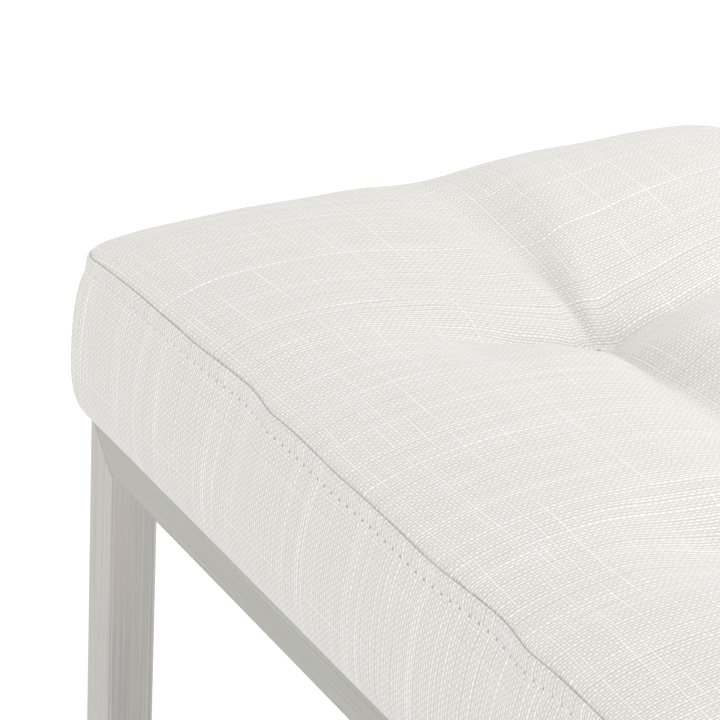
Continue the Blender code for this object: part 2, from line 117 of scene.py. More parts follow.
CROSS_FOLD_EXTRA = 0.0005      # the folds from a tuft to the long seams: extra depth, rise and least depth
CROSS_FOLD_RISE = 0.215
CROSS_FOLD_LEAST = 0.0025
FOLD_TURN = 0.036              # how gradually a tuft's inner side turns into its outer side
FOLD_WIDTH_INNER = 0.018
FOLD_WIDTH_END = 0.0085
FAR_WIDTH_INNER = 0.026        # the folds' widths away from the tufts
FAR_WIDTH_END = 0.034
FOLD_POWER_FAR = 1.8           # a soft hollow away from the tuft, a sharp crease beside it
FOLD_POWER_NEAR = 1.1
NEAR_X = 0.070                 # how far along the folds they stay sharp
NEAR_Y = 0.065
OPEN_X = 0.013                 # how quickly the folds and hollows deepen from the seams
OPEN_Y = 0.035
JOINING = 6                    # how sharply the folds and hollows give way to each other
RIPPLE = 0.0006                # small puckers that ring each tuft
RIPPLE_REACH = 0.030
RIPPLE_START = 0.012
RIPPLE_COUNT = 7.0             # puckers round one tuft
RIPPLE_SHIFT = 3.0             # turns each tuft's puckers another way
BELLY_WAVES = ((0.0011, 0.075, 1.7), (0.0004, 0.028, 6.2))

# ---- cloth, its mesh and its simulation ----------------------------------------------------------

CLOTH_THICK = 0.0012
SHORTEST = 1e-9                # keeps a division by a length safe
SAME_PLACE = 0.000001          # two points this close are joined into one
CELL = 0.0055                  # mesh spacing on the open top
CLOSING = 1.3                  # how much closer the mesh's lines come towards a fold
EDGE_STEPS = (0.0, 0.0010, 0.0024, 0.0044, 0.0072, 0.0108, 0.0152)
SIM_FRAMES = 20
SIM_PRESSURE = 2.5
SIM_TRAVEL = 0.004             # the furthest the simulated cloth may move
HELD_ROWS = 4.0                # mesh rows held beside the seam, fading inwards
HELD_TUFT = (0.006, 0.008)     # held within the first length of a tuft, fading over the second
HELD_FOLD = (0.003, 0.006)     # and the same across a fold
HELD_FOLD_END = (0.050, 0.035)   # for as far along the fold as this from its tuft

# ---- wadding and foam ----------------------------------------------------------------------------

WADDING_INSET = 0.0045
WADDING_DROP = 0.0022
WADDING_THICK = 0.0050
FOAM_INSET = 0.0080
FOAM_DROP = 0.0085
# The foam's sides from the top down: (further out than its top edge, below the seam)
FOAM_SIDES = ((-0.0010, 0.018), (0.0030, 0.030), (0.0055, 0.045), (0.0060, 0.060))
FOAM_FOOT_OUT = 0.0050
FOAM_ABOVE_BOARD = 0.0003
FOAM_UNDER_TOP = 0.003         # its sides stay this far below its own top edge
FILLING_CELL = 0.009

# ---- dust cover ----------------------------------------------------------------------------------

DUST_CELL = 0.0075
DUST_SAG = 0.0022              # how far the dust cover hangs in the middle
DUST_RIPPLE = 0.0005
DUST_FREE = 0.070              # how far from the rails it hangs its full depth
DUST_CORNER = 0.085            # it lies flat this near each corner, over the corner plate
DUST_HOLE = 0.0040
DUST_WAVE_BROAD = (0.080, 4.4)   # (wavelength, seed)
DUST_WAVE_FINE = (0.030, 7.7)
DUST_STRETCH = 0.3             # the fine ripples are longer from front to rear

# ---- side band and its stitches ------------------------------------------------------------------

# From the seam down and round under the board: (outside the seam, below the seam)
SIDE_PROFILE = (
    (-0.0022, 0.0034), (-0.0006, 0.0020), (0.0004, 0.0012), (0.0013, 0.0013), (0.0019, 0.0027),
    (0.0022, 0.0050), (0.0023, 0.0078), (0.0022, 0.0094), (0.0029, 0.0112), (0.0042, 0.0140),
    (0.0059, 0.0200), (0.0072, 0.0270), (0.0082, 0.0350), (0.0089, 0.0440), (0.0092, 0.0530),
    (0.0091, 0.0620), (0.0086, 0.0700), (0.0076, 0.0770), (0.0059, 0.0830), (0.0033, 0.0872),
    (-0.0002, 0.0895), (-0.0040, 0.0903), (-0.0085, 0.0906), (-0.0150, 0.0907),
)
BAND_WAVES = ((0.0016, 0.110, 2.2), (0.0005, 0.032, 8.0))
STITCH_ROW = 7                 # the stitches' row in SIDE_PROFILE
STITCH_PITCH = 0.0065
STITCH_SHAPE = ((0.09, -0.0006), (0.20, 0.00010), (0.50, 0.00030), (0.80, 0.00010), (0.91, -0.0006))
STITCH_RADIUS = 0.00042
STITCH_END_RADIUS = 0.00030
STITCH_ENDS = (0.15, 0.85)     # the thread is thinner before and after these shares of a stitch
STITCH_SIDES = 6

# ---- colours and weave ---------------------------------------------------------------------------

THREAD_PITCH = 0.00163
YARN_DARK = (0.734, 0.725, 0.695)
YARN_LIGHT = (0.852, 0.846, 0.820)
YARN_PATCH = (0.704, 0.694, 0.664)
# painted shade: the cloth's colour where the weave lies low, between the threads
WEAVE_GAP_SHADE = (0.508, 0.495, 0.460)
SLUB = (0.925, 0.919, 0.900)
# One set of threads: (which passes over, seed, lowest height, share with slubs, a slub's change along it)
WARP = (1.0, 11.0, 0.45, 0.58, 0.018)
WEFT = (-1.0, 37.0, 0.22, 0.36, 0.040)
# painted shade inside the needle holes
HOLE_SHADE = (0.20, 0.19, 0.17)
HOLE_EDGE = (0.00035, 0.00085)   # a needle hole's painted shade is full within the first length, fading out by the second
STITCH_TONES = ((0.66, 0.65, 0.61), (0.84, 0.83, 0.80))
# one steel in three tints as painted shade: the front and rear rails and corner plates darkest, the side
# rails lighter, the legs lightest
STEEL_SHADED_TINTS = {
    "X": (0.442, 0.440, 0.412),
    "Y": (0.480, 0.475, 0.450),
    "Z": (0.515, 0.503, 0.475),
}
ZINC_TINT = (0.60, 0.60, 0.585)
WOOD_TONES = ((0.40, 0.27, 0.15), (0.66, 0.50, 0.32))
PLY = 0.0032                   # thickness of one ply of the board
PLASTIC_TONES = ((0.018, 0.018, 0.019), (0.045, 0.045, 0.047))
TWINE_TONES = ((0.30, 0.25, 0.16), (0.52, 0.45, 0.32))
WADDING_TONES = ((0.80, 0.80, 0.79), (0.93, 0.93, 0.92))
FOAM_TONES = ((0.72, 0.66, 0.48), (0.88, 0.84, 0.70))
FELT_TONES = ((0.012, 0.012, 0.013), (0.050, 0.050, 0.054))
FLOOR_TONES = ((0.96, 0.96, 0.96), (0.98, 0.98, 0.98))
FLOOR_REACH = 14.0

# ---- light and camera ----------------------------------------------------------------------------

STRONG_SIDE = (0.66, -0.75, 0.0)   # where the world's light is stronger
WORLD_PLAIN = 1.00
WORLD_FRONT = 1.26
SOFT_BOX_AT = (0.10, 0.42, 0.80)
SOFT_BOX_AIM = (-0.06, 0.17, 0.48)
SOFT_BOX_SIZE = 0.4
SOFT_BOX_POWER = 1.20
CAMERA_AZIMUTH = math.radians(59.96)
CAMERA_ELEVATION = math.radians(26.67)
CAMERA_ROLL = math.radians(2.96)
CAMERA_FROM_CORNER = (55.27, -26.11, 31.93)   # from the frame's left front corner, in tube widths
SENSOR = 36.0
LENS = SENSOR * 3626.0 / 720.0


def smooth(value):
    value = min(max(value, 0.0), 1.0)
    return value * value * (3.0 - 2.0 * value)


def wander(x, y, scale, seed):
    """Gentle noise from -1 to 1."""
    return noise.noise(Vector((x / scale, y / scale, seed)))


def waves(x, y, rows):
    """Gentle noises of several (height, wavelength, seed) added up."""
    return sum(height * wander(x, y, wavelength, seed) for height, wavelength, seed in rows)


def blend(share, first, second):
    return first + (second - first) * share


# ---- top panel -----------------------------------------------------------------------------------


def edge_distance(x, y):
    """Distance to the seam along each axis."""
    return SEAM_HALF_X - abs(x), SEAM_HALF_Y - abs(y)


def seam_height(x, y):
    """The seam's height, lower at the corners and at the ends, and the level it sets further in."""
    dx, dy = edge_distance(x, y)
    drop = CORNER_DROPS[(x > 0.0) + 2 * (y > 0.0)]
    corner = math.exp(-max(dx, 0.0) / SEAM_FALL) * math.exp(-max(dy, 0.0) / SEAM_FALL)
    dip = END_DIP * math.exp(-((y / END_DIP_WIDTH) ** 2))
    end = (END_DROP + dip) * math.exp(-max(dx, 0.0) / END_REACH) * (1.0 - corner)
    return SEAM_HEIGHT - drop * corner - end + waves(x, y, SEAM_WAVES)


def pull(along, side):
    """How far one tuft draws the seam in: growing slowly on one hand, let go quickly on the other."""
    along *= side
    width = PULL_SLOW if along < 0.0 else PULL_QUICK
    swell = math.exp(-(((along - PULL_SWELL_AT) / PULL_SLOW) ** 2))
    return PULL_IN * math.exp(-((along / width) ** 2)) - PULL_SWELL * swell


def seam_shift(x, y):
    """How far the seam is drawn in level with the tufts, and how far it swells between them."""
    dx, dy = edge_distance(x, y)
    near = 1.0 - smooth(min(dx, dy) / PULL_REACH)
    if near <= 0.0:
        return 0.0, 0.0
    side = -math.copysign(1.0, y)
    columns = sum(pull(x - tuft, side) for tuft in TUFTS)
    row = ROW_PULL * pull(y, math.copysign(1.0, x))
    height, wavelength, seed = PULL_UNEVEN
    along = height * wander(x, 2.0 * y, wavelength, seed)
    on_side = smooth((dx - dy) / PULL_TURN + 0.5)
    in_y = (columns + along) * on_side * near
    in_x = (row + along) * (1.0 - on_side) * near
    return -math.copysign(in_x, x), -math.copysign(in_y, y)


def fullness(x, y):
    """How much fuller or flatter than the rest this puff is."""
    rear = smooth(0.5 + y / PUFF_TURN)
    side = 2.0 * rear - 1.0
    middle = smooth((abs(TUFTS[0]) + MIDDLE_MARGIN - abs(x)) / (2.0 * MIDDLE_MARGIN))
    rear_end = rear * smooth((TUFTS[0] - x) / REAR_END_TURN)
    flatter = MIDDLE_FLATTER * middle * (1.0 - side) / 2.0
    return PUFF_VARIES * side * math.cos(PUFF_WAVE * x + PUFF_START) - flatter + REAR_END_FULLER * rear_end


def hollow(reach, outer, y):
    """The hollow round a tuft: steep towards the next tuft, and gentle towards the cushion's ends."""
    gentle_reach = BOWL_REACH_END + BOWL_REACH_UNEVEN * (2.0 * smooth(0.5 + y / BOWL_TURN) - 1.0)
    steep = math.exp(-((reach / BOWL_REACH) ** BOWL_POWER))
    gentle = math.exp(-reach / gentle_reach)
    return BOWL_DEPTH * blend(outer, steep, gentle)


def fold(deepest, across, near, outer):
    """A fold's depth at a distance across it: a sharp crease near its tuft, a soft hollow away from it."""
    width = blend(outer, FOLD_WIDTH_INNER, FOLD_WIDTH_END)
    far_width = blend(outer, FAR_WIDTH_INNER, FAR_WIDTH_END)
    power = blend(near, FOLD_POWER_FAR, FOLD_POWER_NEAR)
    return deepest * math.exp(-((across / blend(near, far_width, width)) ** power))


def row_fold(along, across, outer, open_x):
    """The fold along the row of tufts: from tuft to tuft, and on to the end seams."""
    inner_depth = FOLD_DEPTH - FOLD_LIFT * smooth(along / FOLD_LIFT_AT)
    outer_depth = FOLD_DEPTH + ROW_FOLD_EXTRA - ROW_FOLD_RISE * along
    deepest = max(blend(smooth(outer), inner_depth, outer_depth), 0.0)
    near = math.exp(-((along / NEAR_X) ** 2))
    return fold(deepest * open_x, across, near, outer)


def cross_fold(along, across, outer, open_y):
    """The fold from a tuft to the long seams."""
    deepest = max(FOLD_DEPTH + CROSS_FOLD_EXTRA - CROSS_FOLD_RISE * along, 0.0) + CROSS_FOLD_LEAST
    near = math.exp(-((along / NEAR_Y) ** 2))
    return fold(deepest * open_y, across, near, outer)


def top_height(x, y):
    """Height of the top panel: a crown from the seam, drawn down by folds that meet at the tufts."""
    dx, dy = (max(distance, 0.0) for distance in edge_distance(x, y))
    rise = (1.0 - math.exp(-dx / SHOULDER)) * (1.0 - math.exp(-dy / SHOULDER))
    level = seam_height(x, y) + (CROWN + fullness(x, y)) * rise
    nearest = min(TUFTS, key=lambda tuft: abs(x - tuft))
    off = x - nearest
    reach = math.hypot(off, y)
    outer = smooth(0.5 + off * math.copysign(1.0, x) / FOLD_TURN) if nearest else 0.0
    open_x = 1.0 - math.exp(-dx / OPEN_X)
    open_y = 1.0 - math.exp(-dy / OPEN_Y)
    bowl = hollow(reach, outer, y) * open_x * open_y
    along_row = row_fold(abs(off), abs(y), outer, open_x)
    across_row = cross_fold(abs(y), abs(off), outer, open_y)
    folds = (bowl**JOINING + along_row**JOINING + across_row**JOINING) ** (1.0 / JOINING)
    folds += TUFT_PULL * math.exp(-reach / TUFT_REACH)
    turn = RIPPLE_COUNT * math.atan2(y, off) + RIPPLE_SHIFT * nearest
    ripple = RIPPLE * math.exp(-reach / RIPPLE_REACH) * smooth(reach / RIPPLE_START) * math.sin(turn)
    belly = waves(x, y, BELLY_WAVES)
    above_tie = level - folds + (ripple + belly) * open_x * open_y - TUFT_FLOOR
    return TUFT_FLOOR + 0.5 * (above_tie + math.hypot(above_tie, TUFT_SOFTNESS))


def closing_in(start, end):
    """Grid positions from start up to but not including end, ever closer together towards start."""
    count = max(round(abs(end - start) / CELL), 1)
    return [start + (end - start) * (step / count) ** CLOSING for step in range(count)]


def grid_lines(half, folds):
    """Grid positions along one side, finer towards the folds and the seams."""
    inner = half - EDGE_STEPS[-1]
    lines = []
    for fold_at, after in zip(folds, folds[1:]):
        middle = 0.5 * (fold_at + after)
        lines += closing_in(fold_at, middle) + [middle] + closing_in(after, middle)[1:]
    lines += closing_in(folds[0], -inner) + closing_in(folds[-1], inner)
    lines += [side * (half - step) for side in (-1.0, 1.0) for step in EDGE_STEPS]
    return sorted({round(value, 6) for value in lines})


def round_corner(x, y):
    """Moves a point of the square-cornered grid onto the same place in a round-cornered one."""
    across = abs(x) - (SEAM_HALF_X - CORNER_RADIUS)
    along = abs(y) - (SEAM_HALF_Y - CORNER_RADIUS)
    if across <= 0.0 or along <= 0.0:
        return x, y
    share = max(across, along) / math.hypot(across, along)
    new_x = math.copysign(SEAM_HALF_X - CORNER_RADIUS + across * share, x)
    new_y = math.copysign(SEAM_HALF_Y - CORNER_RADIUS + along * share, y)
    return new_x, new_y


def border(rows, columns):
    """(row, column) pairs round the grid's edge, anticlockwise."""
    loop = [(0, column) for column in range(columns - 1)]
    loop += [(row, columns - 1) for row in range(rows - 1)]
    loop += [(rows - 1, column) for column in range(columns - 1, 0, -1)]
    loop += [(row, 0) for row in range(rows - 1, 0, -1)]
    return loop


def top_points():
    xs = grid_lines(SEAM_HALF_X, TUFTS)
    ys = grid_lines(SEAM_HALF_Y, [0.0])
    points = []
    for y in ys:
        for x in xs:
            at_x, at_y = round_corner(x, y)
            shift_x, shift_y = seam_shift(at_x, at_y)
            points.append((at_x + shift_x, at_y + shift_y, top_height(at_x, at_y)))
    return xs, ys, points


def mesh_object(name, points, faces, uvs):
    """A smooth mesh with one UV map, which on a cloth holds lengths of flat cloth in metres."""
    mesh = bpy.data.meshes.new(name)
    mesh.from_pydata(points, [], faces)
    layer = mesh.uv_layers.new(name="Cloth")
    corners = np.empty(len(mesh.loops), np.int32)
    mesh.loops.foreach_get("vertex_index", corners)
    layer.data.foreach_set("uv", np.asarray(uvs, np.float32)[corners].ravel())
    mesh.shade_smooth()
    obj = bpy.data.objects.new(name, mesh)
    bpy.context.collection.objects.link(obj)
    return obj


def thicken(obj, thickness):
    solid = obj.modifiers.new("Cloth thickness", "SOLIDIFY")
    solid.thickness = thickness
    solid.offset = -1.0
    return obj


def apply_modifiers(obj):
    bpy.context.view_layer.update()
    graph = bpy.context.evaluated_depsgraph_get()
    mesh = bpy.data.meshes.new_from_object(obj.evaluated_get(graph), depsgraph=graph)
    obj.modifiers.clear()
    obj.data = mesh
    return obj


def cloth_shell(obj):
    """Rounds a mesh off and gives it the cloth's thickness."""
    finer = obj.modifiers.new("Finer", "SUBSURF")
    finer.levels = 1
    finer.render_levels = 1
    thicken(obj, CLOTH_THICK)
    apply_modifiers(obj)


def fit_in_place(obj, material, node):
    """Hands a soft piece to the bench, in place of its CAD node."""
    obj.data.materials.append(material)
    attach(obj, BODY)
    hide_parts(node)


def grid_faces(rows, columns):
    faces = []
    for row in range(rows - 1):
        for column in range(columns - 1):
            first = row * columns + column
            faces.append((first, first + 1, first + columns + 1, first + columns))
    return faces


def cloth_lengths(points, rows, columns):
    """Each point's place on the flat cloth: its distance along the cloth from both centre lines."""
    grid = np.array(points).reshape(rows, columns, 3)
    along_x = np.zeros((rows, columns))
    along_y = np.zeros((rows, columns))
    along_x[:, 1:] = np.cumsum(np.linalg.norm(np.diff(grid, axis=1), axis=2), axis=1)
    along_y[1:] = np.cumsum(np.linalg.norm(np.diff(grid, axis=0), axis=2), axis=0)
    along_x -= along_x[:, columns // 2][:, None]
    along_y -= along_y[rows // 2]
    return np.stack([along_x, along_y], axis=2).reshape(-1, 2)


def build_top(cloth):
    xs, ys, points = top_points()
    columns = len(xs)
    rows = len(ys)
    edge = set(border(rows, columns))
    sunk = []
    for index, (x, y, z) in enumerate(points):
        if divmod(index, columns) in edge:
            z -= GROOVE
        sunk.append((x, y, z))
    lengths = cloth_lengths(points, rows, columns)
    obj = mesh_object("seat_cover_top", sunk, grid_faces(rows, columns), lengths)
    relax_as_cloth(obj, rows, columns)
    cloth_shell(obj)
    fit_in_place(obj, cloth, "cover_top")


def fading(distance, reach):
    """1 within a first length, then fading to 0 over a second one."""
    held, over = reach
    return 1.0 - smooth((distance - held) / over)


def hold_cloth(obj, rows, columns):
    """The group that holds the cloth: at the seam, at the tufts and along the folds close to them."""
    held = obj.vertex_groups.new(name="Held")
    for index, vertex in enumerate(obj.data.vertices):
        at = vertex.co
        row, column = divmod(index, columns)
        rim = min(row, column, rows - 1 - row, columns - 1 - column)
        near_tuft = min(math.hypot(at.x - tuft, at.y) for tuft in TUFTS)
        near_fold = min(abs(at.y), min(abs(at.x - tuft) for tuft in TUFTS))
        on_fold = fading(near_fold, HELD_FOLD) * fading(near_tuft, HELD_FOLD_END)
        weight = max(1.0 - rim / HELD_ROWS, fading(near_tuft, HELD_TUFT), on_fold)
        if weight > 0.0:
            held.add([index], min(weight, 1.0), "REPLACE")
    return held.name


def fill_cloth(obj, held):
    """Sets the panel up as cloth that a light pressure fills from below."""
    cloth = obj.modifiers.new("Filled", "CLOTH")
    settings = cloth.settings
    settings.quality = 6
    settings.mass = 0.25
    settings.tension_stiffness = 25.0
    settings.compression_stiffness = 25.0
    settings.shear_stiffness = 10.0
    settings.bending_stiffness = 1.5
    settings.vertex_group_mass = held
    settings.pin_stiffness = 1.0
    settings.use_pressure = True
    settings.uniform_pressure_force = SIM_PRESSURE
    settings.effector_weights.gravity = 0.0
    cloth.point_cache.frame_start = 1
    cloth.point_cache.frame_end = SIM_FRAMES


def relax_as_cloth(obj, rows, columns):
    """Lets the filling press the held panel out as cloth, with every point's travel limited."""
    scene = bpy.context.scene
    before = [vertex.co.copy() for vertex in obj.data.vertices]
    fill_cloth(obj, hold_cloth(obj, rows, columns))
    for step in range(1, SIM_FRAMES + 1):
        scene.frame_set(step)
    graph = bpy.context.evaluated_depsgraph_get()
    result = obj.evaluated_get(graph).to_mesh()
    after = [vertex.co.copy() for vertex in result.vertices]
    obj.evaluated_get(graph).to_mesh_clear()
    obj.modifiers.clear()
    scene.frame_set(1)
    for vertex, start, end in zip(obj.data.vertices, before, after):
        move = end - start
        if move.length > SIM_TRAVEL:
            move *= SIM_TRAVEL / move.length
        vertex.co = start + move


# ---- wadding and foam ----------------------------------------------------------------------------


def lowest_nearby(x, y):
    """The top panel's lowest height near a point, so that a filling stays under its folds."""
    steps = (-FILLING_CELL, 0.0, FILLING_CELL)
    return min(top_height(x + step_x, y + step_y) for step_x in steps for step_y in steps)


def filling_grid(inset, drop):
    """The top panel's shape, drawn in from the seam and lowered, on a coarser grid."""
    half_x = SEAM_HALF_X - inset
    half_y = SEAM_HALF_Y - inset
    columns = round(2.0 * half_x / FILLING_CELL) + 1
    rows = round(2.0 * half_y / FILLING_CELL) + 1
    points = []
    for row in range(rows):
        for column in range(columns):
            x = -half_x + 2.0 * half_x * column / (columns - 1)
            y = -half_y + 2.0 * half_y * row / (rows - 1)
            wide_x, wide_y = round_corner(x * SEAM_HALF_X / half_x, y * SEAM_HALF_Y / half_y)
            at_x = wide_x * half_x / SEAM_HALF_X
            at_y = wide_y * half_y / SEAM_HALF_Y
            shift_x, shift_y = seam_shift(at_x, at_y)
            z = lowest_nearby(at_x, at_y) - drop
            points.append(Vector((at_x + shift_x, at_y + shift_y, z)))
    return points, rows, columns


def build_wadding(batting):
    points, rows, columns = filling_grid(WADDING_INSET, WADDING_DROP)
    flat = [(point.x, point.y) for point in points]
    obj = mesh_object("seat_wadding", points, grid_faces(rows, columns), flat)
    thicken(obj, WADDING_THICK)
    apply_modifiers(obj)
    fit_in_place(obj, batting, "wadding")


def build_foam(foam):
    """A block of foam under the wadding, down to the board, with sides that follow the band."""
    points, rows, columns = filling_grid(FOAM_INSET, FOAM_DROP)
    faces = grid_faces(rows, columns)
    ring = [row * columns + column for row, column in border(rows, columns)]
    top_ring = [points[index] for index in ring]
    levels = [(out, SEAM_HEIGHT - below) for out, below in FOAM_SIDES]
    levels.append((FOAM_FOOT_OUT, BOARD_TOP + FOAM_ABOVE_BOARD))
    for out, level in levels:
        start = len(points)
        for point in top_ring:
            seam_x = point.x * SEAM_HALF_X / (SEAM_HALF_X - FOAM_INSET)
            seam_y = point.y * SEAM_HALF_Y / (SEAM_HALF_Y - FOAM_INSET)
            way = outward(seam_x, seam_y)
            z = min(level, point.z - FOAM_UNDER_TOP)
            points.append(Vector((point.x + way.x * out, point.y + way.y * out, z)))
        lower = list(range(start, len(points)))
        for index in range(len(ring)):
            after = (index + 1) % len(ring)
            faces.append((ring[index], lower[index], lower[after], ring[after]))
        ring = lower
    faces.append(tuple(reversed(ring)))
    obj = mesh_object("seat_foam", points, faces, [(point.x, point.y) for point in points])
    fit_in_place(obj, foam, "foam_core")


# ---- side band -----------------------------------------------------------------------------------


def outward(x, y):
    """Unit direction out of the cushion's outline at one of its points."""
    past_x = max(abs(x) - (SEAM_HALF_X - CORNER_RADIUS), 0.0)
    past_y = max(abs(y) - (SEAM_HALF_Y - CORNER_RADIUS), 0.0)
    return Vector((math.copysign(past_x, x), math.copysign(past_y, y))).normalized()


def seam_ring():
    """The seam's points, each with its outward direction and its shift; and the distances along it."""
    xs = grid_lines(SEAM_HALF_X, TUFTS)
    ys = grid_lines(SEAM_HALF_Y, [0.0])
    ring = []
    for row, column in border(len(ys), len(xs)):
        x, y = round_corner(xs[column], ys[row])
        shift_x, shift_y = seam_shift(x, y)
        shift = Vector((shift_x, shift_y, 0.0))
        ring.append((Vector((x, y, seam_height(x, y))) + shift, outward(x, y), shift))
    lengths = [0.0]
    for here, after in zip(ring, ring[1:] + ring[:1]):
        lengths.append(lengths[-1] + (after[0] - here[0]).length)
    return ring, lengths


def band_point(place, out, below, along):
    """A point of the side band: its rows close up under a dropped seam, and only the top is drawn in."""
    seam, direction, shift = place
    full = SEAM_HEIGHT - FRAME_TOP
    share = below / full
    depth = below * ((seam.z - FRAME_TOP) / full)
    swell = waves(along, below, BAND_WAVES) * math.sin(math.pi * smooth(share))
    let_go = smooth(share)
    x = seam.x - shift.x * let_go + direction.x * (out + swell)
    y = seam.y - shift.y * let_go + direction.y * (out + swell)
    return Vector((x, y, seam.z - depth))


def band_drops():
    """How far down the cloth each row of the side band lies."""
    drops = [0.0]
    for (out, below), (next_out, next_below) in zip(SIDE_PROFILE, SIDE_PROFILE[1:]):
        drops.append(drops[-1] + math.hypot(next_out - out, next_below - below))
    return drops


def build_band(cloth):
    ring, lengths = seam_ring()
    count = len(ring)
    rows = []
    for out, below in SIDE_PROFILE:
        rows.append([band_point(place, out, below, length) for place, length in zip(ring, lengths)])
    points = []
    uvs = []
    for row, drop in zip(rows, band_drops()):
        points += [*row, row[0]]
        uvs += [(length, -drop) for length in lengths]
    faces = []
    for row in range(len(rows) - 1):
        for index in range(count):
            first = row * (count + 1) + index
            faces.append((first, first + count + 1, first + count + 2, first + 1))
    obj = mesh_object("seat_cover_band", points, faces, uvs)
    bm = bmesh.new()
    bm.from_mesh(obj.data)
    bmesh.ops.remove_doubles(bm, verts=bm.verts, dist=SAME_PLACE)
    bm.to_mesh(obj.data)
    bm.free()
    cloth_shell(obj)
    fit_in_place(obj, cloth, "cover_boxing")
    return rows[STITCH_ROW], lengths[-1]


def stitch_count(total):
    return round(total / STITCH_PITCH)


def stitch_rings(line, walked, targets):
    """The thread's centre, direction and way off the cloth at each of one stitch's distances."""
    rings = []
    for target, (_, lift) in zip(targets, STITCH_SHAPE):
        segment = min(bisect.bisect_left(walked, target) - 1, len(walked) - 2)
        here = line[segment]
        after = line[segment + 1]
        step = (target - walked[segment]) / max(walked[segment + 1] - walked[segment], SHORTEST)
        along = (after - here).normalized()
        normal = along.cross(Vector((0.0, 0.0, 1.0))).normalized()
        rings.append((here.lerp(after, step) + normal * lift, along, normal))
    return rings


def thread_points(rings):
    points = []
    thick_from, thick_to = STITCH_ENDS
    for (centre, along, normal), (share, _) in zip(rings, STITCH_SHAPE):
        radius = STITCH_RADIUS if thick_from < share < thick_to else STITCH_END_RADIUS
        across = along.cross(normal).normalized()
        for side in range(STITCH_SIDES):
            turn = 2.0 * math.pi * side / STITCH_SIDES
            points.append(centre + (normal * math.cos(turn) + across * math.sin(turn)) * radius)
    return points


def thread_faces(first):
    """One stitch's faces: its sides from ring to ring, and its two ends."""
    faces = []
    for ring in range(len(STITCH_SHAPE) - 1):
        for side in range(STITCH_SIDES):
            a = first + ring * STITCH_SIDES + side
            b = first + ring * STITCH_SIDES + (side + 1) % STITCH_SIDES
            faces.append((a, b, b + STITCH_SIDES, a + STITCH_SIDES))
    faces.append(tuple(first + side for side in range(STITCH_SIDES - 1, -1, -1)))
    last = first + (len(STITCH_SHAPE) - 1) * STITCH_SIDES
    faces.append(tuple(last + side for side in range(STITCH_SIDES)))
    return faces


def build_stitches(stitch_line, total, thread):
    """One short thread on the cloth between each pair of needle holes, round the whole band."""
    count = stitch_count(total)
    pitch = total / count
    line = [*stitch_line, stitch_line[0]]
    walked = [0.0]
    for here, after in zip(line, line[1:]):
        walked.append(walked[-1] + (after - here).length)
    scale = walked[-1] / total
    points = []
    faces = []
    for stitch in range(count):
        targets = [(stitch + share) * pitch * scale for share, _ in STITCH_SHAPE]
        faces += thread_faces(len(points))
        points += thread_points(stitch_rings(line, walked, targets))
    obj = mesh_object("topstitching", points, faces, [(0.0, 0.0)] * len(points))
    obj.data.materials.append(thread)
    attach(obj, BODY)


# ---- dust cover ----------------------------------------------------------------------------------


def dust_sag(x, y):
    """How far the dust cover hangs below its stapled edge: nothing over the rails and corner plates."""
    from_side = HALF_LENGTH - TUBE - abs(x)
    from_front = HALF_DEPTH - TUBE - abs(y)
    from_plate = math.hypot(from_side, from_front) - DUST_CORNER
    free = smooth(min(from_side, from_front, from_plate) / DUST_FREE)
    ripple = wander(x, y, *DUST_WAVE_BROAD) + wander(x, DUST_STRETCH * y, *DUST_WAVE_FINE)
    return free * (DUST_SAG + DUST_RIPPLE * ripple)


def dust_places(low, high, rows, columns):
    places = []
    for row in range(rows):
        for column in range(columns):
            x = low.x + (high.x - low.x) * column / (columns - 1)
            y = low.y + (high.y - low.y) * row / (rows - 1)
            places.append([x, y])
    return places


def open_bolt_hole(places, columns, centre):
    """Moves the eight grid points nearest a bolt onto a circle, and returns the one in the middle."""

    def away(index):
        return math.hypot(places[index][0] - centre.x, places[index][1] - centre.y)

    middle = min(range(len(places)), key=away)
    for step, turn in ((1, 0), (columns + 1, 1), (columns, 2), (columns - 1, 3)):
        for sign in (1, -1):
            angle = turn * math.pi / 4.0 + (math.pi if sign < 0 else 0.0)
            x = centre.x + DUST_HOLE * math.cos(angle)
            y = centre.y + DUST_HOLE * math.sin(angle)
            places[middle + sign * step] = [x, y]
    return middle


def build_dust_cover(felt):
    """Black non-woven cloth stapled under the board, with a hole for each seat bolt."""
    low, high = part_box("dust_cover")
    columns = round((high.x - low.x) / DUST_CELL) + 1
    rows = round((high.y - low.y) / DUST_CELL) + 1
    places = dust_places(low, high, rows, columns)
    holes = set()
    for end in ENDS:
        for side in SIDES:
            bolt_low, bolt_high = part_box(f"seat_bolt_{end}_{side}")
            holes.add(open_bolt_hole(places, columns, (bolt_low + bolt_high) / 2.0))
    kept = [index for index in range(len(places)) if index not in holes]
    number = {index: place for place, index in enumerate(kept)}
    faces = []
    for face in grid_faces(rows, columns):
        if not holes.intersection(face):
            faces.append(tuple(number[index] for index in face))
    flat = [places[index] for index in kept]
    points = [(x, y, high.z - dust_sag(x, y)) for x, y in flat]
    obj = mesh_object("seat_dust_cover", points, faces, flat)
    thicken(obj, high.z - low.z)
    apply_modifiers(obj)
    obj.data.materials.append(felt)
    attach(obj, BODY)
    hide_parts("dust_cover")


# ---- materials -----------------------------------------------------------------------------------


